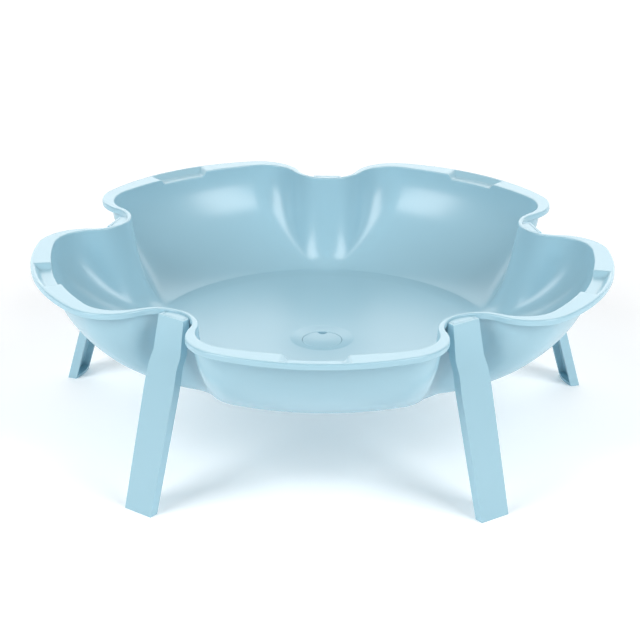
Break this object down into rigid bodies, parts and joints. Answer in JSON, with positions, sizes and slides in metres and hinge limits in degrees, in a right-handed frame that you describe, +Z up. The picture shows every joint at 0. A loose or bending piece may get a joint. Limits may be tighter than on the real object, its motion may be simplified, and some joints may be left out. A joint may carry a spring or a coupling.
{
  "type": "pet bathtub",
  "caption": "Shallow flower-shaped pet bathtub with a flat rim, finger grips in the rim, a floor drain with a lift-out plug, and splayed pull-off legs in the notches.",
  "frame": {"origin": "on the floor, at the middle of the whole object's box", "axes": "+Z up; one lobe faces -Y and one leg is at +Y; +X to the right seen from -Y"},
  "size_m": [0.5926, 0.5916, 0.187],
  "materials": {
    "blue_plastic": "glossy injection-moulded polypropylene, pastel blue",
    "seal_rubber": "smooth pale grey silicone"
  },
  "bodies": {
    "tub": {"tub": "blue_plastic"},
    "leg_front_right": {"leg_front_right": "blue_plastic"},
    "leg_right": {"leg_right": "blue_plastic"},
    "leg_back": {"leg_back": "blue_plastic"},
    "leg_left": {"leg_left": "blue_plastic"},
    "leg_front_left": {"leg_front_left": "blue_plastic"},
    "plug": {"drain_plug": "blue_plastic", "plug_seal": "seal_rubber"}
  },
  "joints": [
    {"name": "front_right_leg_slide", "type": "slide", "parent": "tub", "child": "leg_front_right", "axis": [0.1182, -0.1627, -0.9796], "range_m": [0, 0.06]},
    {"name": "right_leg_slide", "type": "slide", "parent": "tub", "child": "leg_right", "axis": [0.1912, 0.0621, -0.9796], "range_m": [0, 0.06]},
    {"name": "back_leg_slide", "type": "slide", "parent": "tub", "child": "leg_back", "axis": [0, 0.2011, -0.9796], "range_m": [0, 0.06]},
    {"name": "left_leg_slide", "type": "slide", "parent": "tub", "child": "leg_left", "axis": [-0.1912, 0.0621, -0.9796], "range_m": [0, 0.06]},
    {"name": "front_left_leg_slide", "type": "slide", "parent": "tub", "child": "leg_front_left", "axis": [-0.1182, -0.1627, -0.9796], "range_m": [0, 0.06]},
    {"name": "plug_lift", "type": "slide", "parent": "tub", "child": "plug", "axis": [0, 0, 1], "range_m": [0, 0.13]}
  ]
}
